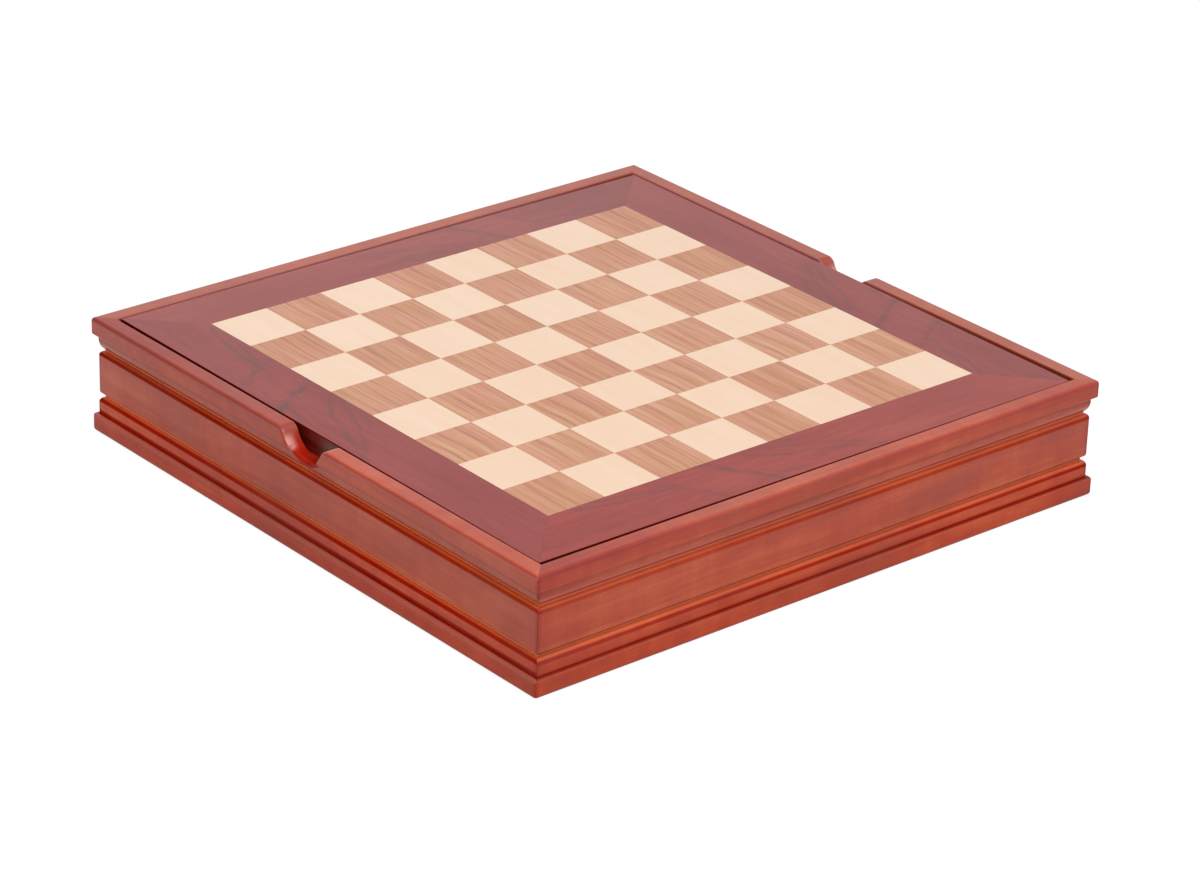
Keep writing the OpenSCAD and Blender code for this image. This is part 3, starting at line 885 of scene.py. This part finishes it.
def divider(name, along, slot_up, material):
    """A half-lapped divider with rounded top edges; slot_up says that it is cut from above."""
    r, half, reach = 1.4, DIV_T / 2, XI + DADO_D
    top = LEDGE - 1.0
    mid = (FLOOR_Z + top) / 2
    n = 5

    def section(z0, z1, rounded):
        pts = [(-half, z0), (half, z0)]
        if rounded:
            pts += [(half - r + r * math.cos(math.radians(90 * i / n)), z1 - r + r * math.sin(math.radians(90 * i / n)))
                    for i in range(n + 1)]
            pts += [(-half + r - r * math.sin(math.radians(90 * i / n)), z1 - r + r * math.cos(math.radians(90 * i / n)))
                    for i in range(n + 1)]
        else:
            pts += [(half, z1), (-half, z1)]
        return pts

    m = Mesh()
    ends = (-reach, -half, half, reach)

    def put(l, w, z):
        return (l, w, z) if along == "x" else (-w, l, z)

    def run(a, b, pts):
        steps = max(1, math.ceil((b - a) / 30))
        k = len(pts)
        for s in range(steps):
            la, lb = a + (b - a) * s / steps, a + (b - a) * (s + 1) / steps
            for i in range(k):
                j = (i + 1) % k
                m.face(put(la, *pts[i]), put(la, *pts[j]), put(lb, *pts[j]), put(lb, *pts[i]))

    full = section(FLOOR_Z, top, True)
    # the full-height runs share the half-height points, so that the middle meets them
    low = section(FLOOR_Z, mid, False)
    high = section(mid, top, True)
    split = full[:2] + [(half, mid)] + full[2:] + [(-half, mid)]
    run(ends[0], ends[1], split)
    run(ends[2], ends[3], split)
    core = low if slot_up else high
    run(ends[1], ends[2], core)
    for l in (ends[0], ends[3]):
        m.face(*[put(l, *p) for p in split])
    other = high if slot_up else low
    for l in (ends[1], ends[2]):
        m.face(*[put(l, *p) for p in other])
    return m.build(name, material, "case", sharp=40)


def felt_sheet(name, cx, cy, z0, w, thick, cells, material, node, under=False):
    """A cut square of felt with soft edges and an uneven nap; under turns its nap down."""
    m = Mesh()
    e = 0.35
    pos = [-w / 2, -w / 2 + e * 0.3, -w / 2 + e] + [-w / 2 + e + (w - 2 * e) * i / cells for i in range(1, cells)] + \
          [w / 2 - e, w / 2 - e * 0.3, w / 2]
    drop = [0.55, 0.16, 0.0] + [0.0] * (cells - 1) + [0.0, 0.16, 0.55]
    n = len(pos)

    def nap(x, y):
        q = Vector((x * 0.9 + cx, y * 0.9 + cy, z0))
        slow = noise.noise(q * 0.035) * 0.10
        return slow + noise.noise(q) * 0.09 - 0.1

    grid = []
    for i, x in enumerate(pos):
        row = []
        for j, y in enumerate(pos):
            h = thick - min(0.75, drop[i] + drop[j]) + (nap(x, y) if 0 < i < n - 1 and 0 < j < n - 1 else -0.05)
            wob = 0.12 * noise.noise(Vector((x * 0.05 + cx, y * 0.05 + cy, 7.0)))
            row.append((cx + x + (wob if i in (0, n - 1) else 0), cy + y + (wob if j in (0, n - 1) else 0),
                        z0 + thick - h if under else z0 + h))
        grid.append(row)
    back = z0 + thick if under else z0
    for i in range(n - 1):
        for j in range(n - 1):
            m.face(grid[i][j], grid[i + 1][j], grid[i + 1][j + 1], grid[i][j + 1])
    rim = [grid[i][0] for i in range(n)] + [grid[n - 1][j] for j in range(1, n)] + \
          [grid[i][n - 1] for i in range(n - 2, -1, -1)] + [grid[0][j] for j in range(n - 2, 0, -1)]
    foot = [(x, y, back) for x, y, z in rim]
    for i in range(len(rim)):
        j = (i + 1) % len(rim)
        m.face(rim[i], rim[j], foot[j], foot[i])
    m.face(*foot)
    ob = m.build(name, material, "case", sharp=80)
    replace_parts(ob, node)
    return ob


# ---------------------------------------------------------------- build
WALL = {
    "left": case_wood("case_wood_left", "y", 0.0,
                      side=((0.0, -0.05), (0.2, 0.0), (0.4, 0.04), (0.7, 0.03), (0.9, 0.0), (1.0, -0.06)),
                      rail=((0.0, -0.10), (0.3, -0.04), (0.5, 0.02), (0.7, 0.02), (1.0, 0.02)),
                      rim=((0.0, -0.28), (0.3, -0.36), (0.5, -0.22), (0.7, 0.06), (0.85, 0.36), (1.0, 0.28)),
                      arris=(0.08, 0.5, 0.0), mauve=0.06, lines=LEFT_LINES, foot=(1.32, 1.24, 1.0), plinth=0.09,
                      tint=((1.03, 0.80, 0.82), 0.75, 0.45),
                      inner=((0.0, 0.0), (0.08, 0.1), (0.2, 0.8), (0.42, 0.9), (0.5, 0.2), (0.6, 0.0), (1.0, 0.0))),
    "right": case_wood("case_wood_right", "y", 1.0, rim=((0.0, -0.10), (1.0, -0.05)), dust=0.18, ior=1.6,
                       inner=((0.0, 0.7), (0.1, 0.4), (0.3, 0.3), (0.4, 0.0), (1.0, 0.0)),
                       glow=((0.0, 0.0), (0.3, 0.2), (0.5, 0.95), (1.0, 0.95))),
    "front": case_wood("case_wood_front", "x", 2.0,
                       side=((0.0, 0.08), (0.06, 0.04), (0.3, 0.0), (0.85, 0.0), (0.95, 0.06), (1.0, 0.13)),
                       rail=((0.0, 0.02), (1.0, 0.03)),
                       rim=((0.0, 0.20), (0.15, 0.08), (0.33, -0.42), (0.6, -0.18), (0.8, -0.06), (1.0, -0.06)),
                       arris=(0.29, 0.15, 0.09), mauve=0.08, foot=(1.20, 1.18, 1.0), plinth=0.02,
                       tint=((1.0, 0.92, 0.98), 2.0, 1.5),
                       inner=((0.0, 1.0), (0.5, 0.85), (1.0, 0.35))),
    "rear": case_wood("case_wood_rear", "x", 3.0, rim=((0.0, -0.08), (1.0, -0.10)), dust=0.14, ior=1.6,
                      glow=((0.0, 0.6), (0.3, 1.0), (0.75, 1.0), (0.9, 0.5), (1.0, 0.0))),
}
DIV_X = plain_wood("divider_wood_long", "x", (0.36, 0.045, 0.014), 0.7, 1.0)
DIV_Y = plain_wood("divider_wood_cross", "y", (0.36, 0.045, 0.014), 0.7, 2.0)
# the lippings and the veneer's edge are painted near-black as the shade in the gaps and the notch
LIP_X = plain_wood("lipping_wood_along_x", "x", (0.075, 0.005, 0.002), 0.18, 3.0)
LIP_Y = plain_wood("lipping_wood_along_y", "y", (0.088, 0.004, 0.001), 0.45, 4.0, worn=(0.125, 0.042, 0.032))
EDGE = Tree("veneer_edge_painted_shade").surface((0.095, 0.003, 0.001), 0.8, coat=0.0, specular=0.0)
BACK = plain_wood("backing_veneer_wood", "y", (0.24, 0.040, 0.020), 0.7, 5.0)
MAPLE, WALNUT = maple("light_veneer_wood"), walnut("dark_veneer_wood")
PLY_CORE = plywood("core_plywood", LEDGE + BACKING_T, 7, 1.6142857, "x")
PLY_BOTTOM = plywood("bottom_plywood", PANEL_Z, 3, 1.6666667, "y")
SPLINE = plywood("spline_plywood", 0.0, 3, 1.0, "x")
FELT = felt("green_felt_cloth")

for side, turn, node in (("left", 180, "notched_wall_left"), ("right", 0, "notched_wall_right"),
                         ("front", -90, "plain_wall_front"), ("rear", 90, "plain_wall_rear")):
    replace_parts(wall("wall_" + side, turn, node.startswith("notched"), WALL[side]), node)


def dress(node, material):
    ob = nodes[node]
    ob.data.materials.clear()
    ob.data.materials.append(material)


dress("light_squares", MAPLE)
dress("dark_squares", WALNUT)
for i, (side, q, shift, tone, depth) in enumerate((
        ("left", 2, 0.0, (0.250, 0.0215, 0.0175), 1.0),
        ("front", 3, -9.0, (0.300, 0.0245, 0.0160), 0.85),
        ("right", 0, 14.0, (0.245, 0.0240, 0.0200), 0.9),
        ("rear", 1, 6.0, (0.265, 0.0300, 0.0240), 0.7))):
    veneer = border_veneer("border_veneer_" + side, side, shift, 1.0 + 0.6 * i, tone, depth)
    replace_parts(border_strip("veneer_strip_" + side, q, veneer), "border_" + side)
    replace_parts(lipping_strip("edge_strip_" + side, q, LIP_Y if side in ("left", "right") else LIP_X), "lipping_" + side)
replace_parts(backing_sheet("board_backing", BACK), "backing_veneer")
dress("board_core", PLY_CORE)
dress("bottom_panel", PLY_BOTTOM)
dress("mitre_splines", SPLINE)
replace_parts(divider("bay_divider_long", "x", True, DIV_X), "long_divider")
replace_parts(divider("bay_divider_cross", "y", False, DIV_Y), "cross_divider")
bay_w = XI - DIV_T / 2 - 2 * SLACK
bay_c = (XI + DIV_T / 2) / 2
for fy, sy in (("front", -1), ("rear", 1)):
    for fx, sx in (("left", -1), ("right", 1)):
        felt_sheet("felt_bay_%s_%s" % (fy, fx), sx * bay_c, sy * bay_c, FLOOR_Z, bay_w, FELT_T, 64, FELT,
                   "bay_felt_%s_%s" % (fy, fx))
felt_sheet("felt_underside", 0.0, 0.0, PANEL_Z - FELT_T, 2 * (XI - SLACK), FELT_T, 96, FELT, "underside_felt",
           under=True)

# ---------------------------------------------------------------- floor
fm = bpy.data.meshes.new("floor")
s = 30.0
fm.from_pydata([(-s, -s, 0), (s, -s, 0), (s, s, 0), (-s, s, 0)], [], [(0, 1, 2, 3)])
floor = bpy.data.objects.new("floor", fm)
scene.collection.objects.link(floor)
floor.location.z = -0.00005
t = Tree("floor_paper")


def paper(albedo, glow_level, tone):
    diff = t.new("ShaderNodeBsdfDiffuse")
    t.set(diff.inputs[0], t.vec(*[t.mul(tone, albedo)] * 3))
    glow = t.new("ShaderNodeEmission")
    glow.inputs[0].default_value = (1, 1, 1, 1)
    t.set(glow.inputs[1], t.mul(tone, glow_level))
    total = t.new("ShaderNodeAddShader")
    t.t.links.new(diff.outputs[0], total.inputs[0])
    t.t.links.new(glow.outputs[0], total.inputs[1])
    return total.outputs[0]


# white paper: the camera sees it close to pure white, the wood sees it with its shadow round the box
px, py, pz = millimetres(t)
away = t.math("SUBTRACT", t.math("MAXIMUM", t.math("ABSOLUTE", px), t.math("ABSOLUTE", py)), X0)
near_box = t.range(away, 16.0, 40.0, 0.62, 1.0)
path = t.new("ShaderNodeLightPath")
both = t.new("ShaderNodeMixShader")
t.t.links.new(path.outputs["Is Camera Ray"], both.inputs[0])
t.t.links.new(paper(0.55, 0.33, near_box), both.inputs[1])
t.t.links.new(paper(0.17, 0.86, 1.0), both.inputs[2])
see = t.new("ShaderNodeBsdfTransparent")
geo = t.new("ShaderNodeNewGeometry")
pick = t.new("ShaderNodeMixShader")
t.t.links.new(geo.outputs["Backfacing"], pick.inputs[0])
t.t.links.new(both.outputs[0], pick.inputs[1])
t.t.links.new(see.outputs[0], pick.inputs[2])
t.t.links.new(pick.outputs[0], t.out.inputs[0])
fm.materials.append(t.mat)

# ---------------------------------------------------------------- light
world = bpy.data.worlds.new("studio")
scene.world = world
world.use_nodes = True
wt = world.node_tree
wt.nodes.clear()
W = Tree.__new__(Tree)
W.t = wt
out = wt.nodes.new("ShaderNodeOutputWorld")
tc = wt.nodes.new("ShaderNodeTexCoord")
wx, wy, wz = W.xyz(tc.outputs["Generated"])
dome = W.range(wz, math.sin(math.radians(36)), math.sin(math.radians(58)), 0.03, 0.70)
# a white backdrop on the far side, up to about 45 degrees, a little brighter low down and to the left
az = W.add(W.mul(wx, 0.65), W.mul(wy, 0.76))
leaning = W.add(W.mul(wx, -0.76), W.mul(wy, 0.65))
back = W.mul(W.range(az, 0.35, 0.62), W.range(wz, 0.80, 0.62))
low = W.range(wz, math.sin(math.radians(25.5)), math.sin(math.radians(22.0)))
shade = W.add(0.74, W.mul(low, W.range(leaning, -0.06, 0.10, 0.12, 0.33)))
level = W.math("MAXIMUM", dome, W.mul(back, shade))


def lobe(direction, outer, inner, radiance):
    """A wide diffuser of the light tent, around one direction."""
    d = Vector(direction).normalized()
    c = W.add(W.add(W.mul(wx, d.x), W.mul(wy, d.y)), W.mul(wz, d.z))
    return W.range(c, math.cos(math.radians(outer)), math.cos(math.radians(inner)), 0.0, radiance)


level = W.math("MAXIMUM", level, lobe((0.587, -0.46, 0.66), 42, 24, 1.0))
level = W.math("MAXIMUM", level, lobe((-0.40, -0.58, 0.71), 52, 28, 1.80))
bg = wt.nodes.new("ShaderNodeBackground")
W.set(bg.inputs[0], (1.0, 1.0, 1.0))
W.set(bg.inputs[1], level)
bgc = wt.nodes.new("ShaderNodeBackground")
W.set(bgc.inputs[0], (1.0, 1.0, 1.0))
bgc.inputs[1].default_value = 1.0
lp = wt.nodes.new("ShaderNodeLightPath")
mixw = wt.nodes.new("ShaderNodeMixShader")
wt.links.new(lp.outputs["Is Camera Ray"], mixw.inputs[0])
wt.links.new(bg.outputs[0], mixw.inputs[1])
wt.links.new(bgc.outputs[0], mixw.inputs[2])
wt.links.new(mixw.outputs[0], out.inputs[0])


def softbox(name, direction, distance, size, radiance, color=(1, 1, 1)):
    data = bpy.data.lights.new(name, "AREA")
    data.shape = "SQUARE"
    data.size = size
    data.energy = radiance * math.pi * size * size      # a Lambertian emitter of that radiance
    data.color = color
    ob = bpy.data.objects.new(name, data)
    scene.collection.objects.link(ob)
    d = Vector(direction).normalized()
    ob.location = d * distance
    ob.rotation_mode = "QUATERNION"
    ob.rotation_quaternion = (-d).to_track_quat("-Z", "Y")
    ob.visible_camera = False
    return ob


softbox("key", (-0.36, -0.46, 0.81), 3.0, 1.0, 8.0, (1.0, 0.99, 0.975))

# ---------------------------------------------------------------- camera
right_v = Vector((0.7688223326, -0.6388561438, 0.0278396917))
down_v = Vector((-0.2534380735, -0.3443891907, -0.9039719178))
fwd_v = Vector((0.5870957024, 0.6879381607, -0.4266845713))
cam = bpy.data.objects.new("camera", bpy.data.cameras.new("camera"))
scene.collection.objects.link(cam)
cam.matrix_world = Matrix(((right_v.x, -down_v.x, -fwd_v.x, -1.324032),
                           (right_v.y, -down_v.y, -fwd_v.y, -1.560741),
                           (right_v.z, -down_v.z, -fwd_v.z, 0.977277),
                           (0, 0, 0, 1)))
cam.data.lens = 129.85
cam.data.sensor_width = 36
cam.data.clip_start, cam.data.clip_end = 0.05, 100
scene.camera = cam
scene.view_settings.view_transform = "Standard"
scene.view_settings.look = "None"
scene.view_settings.exposure = 0.0
scene.view_settings.gamma = 1.0
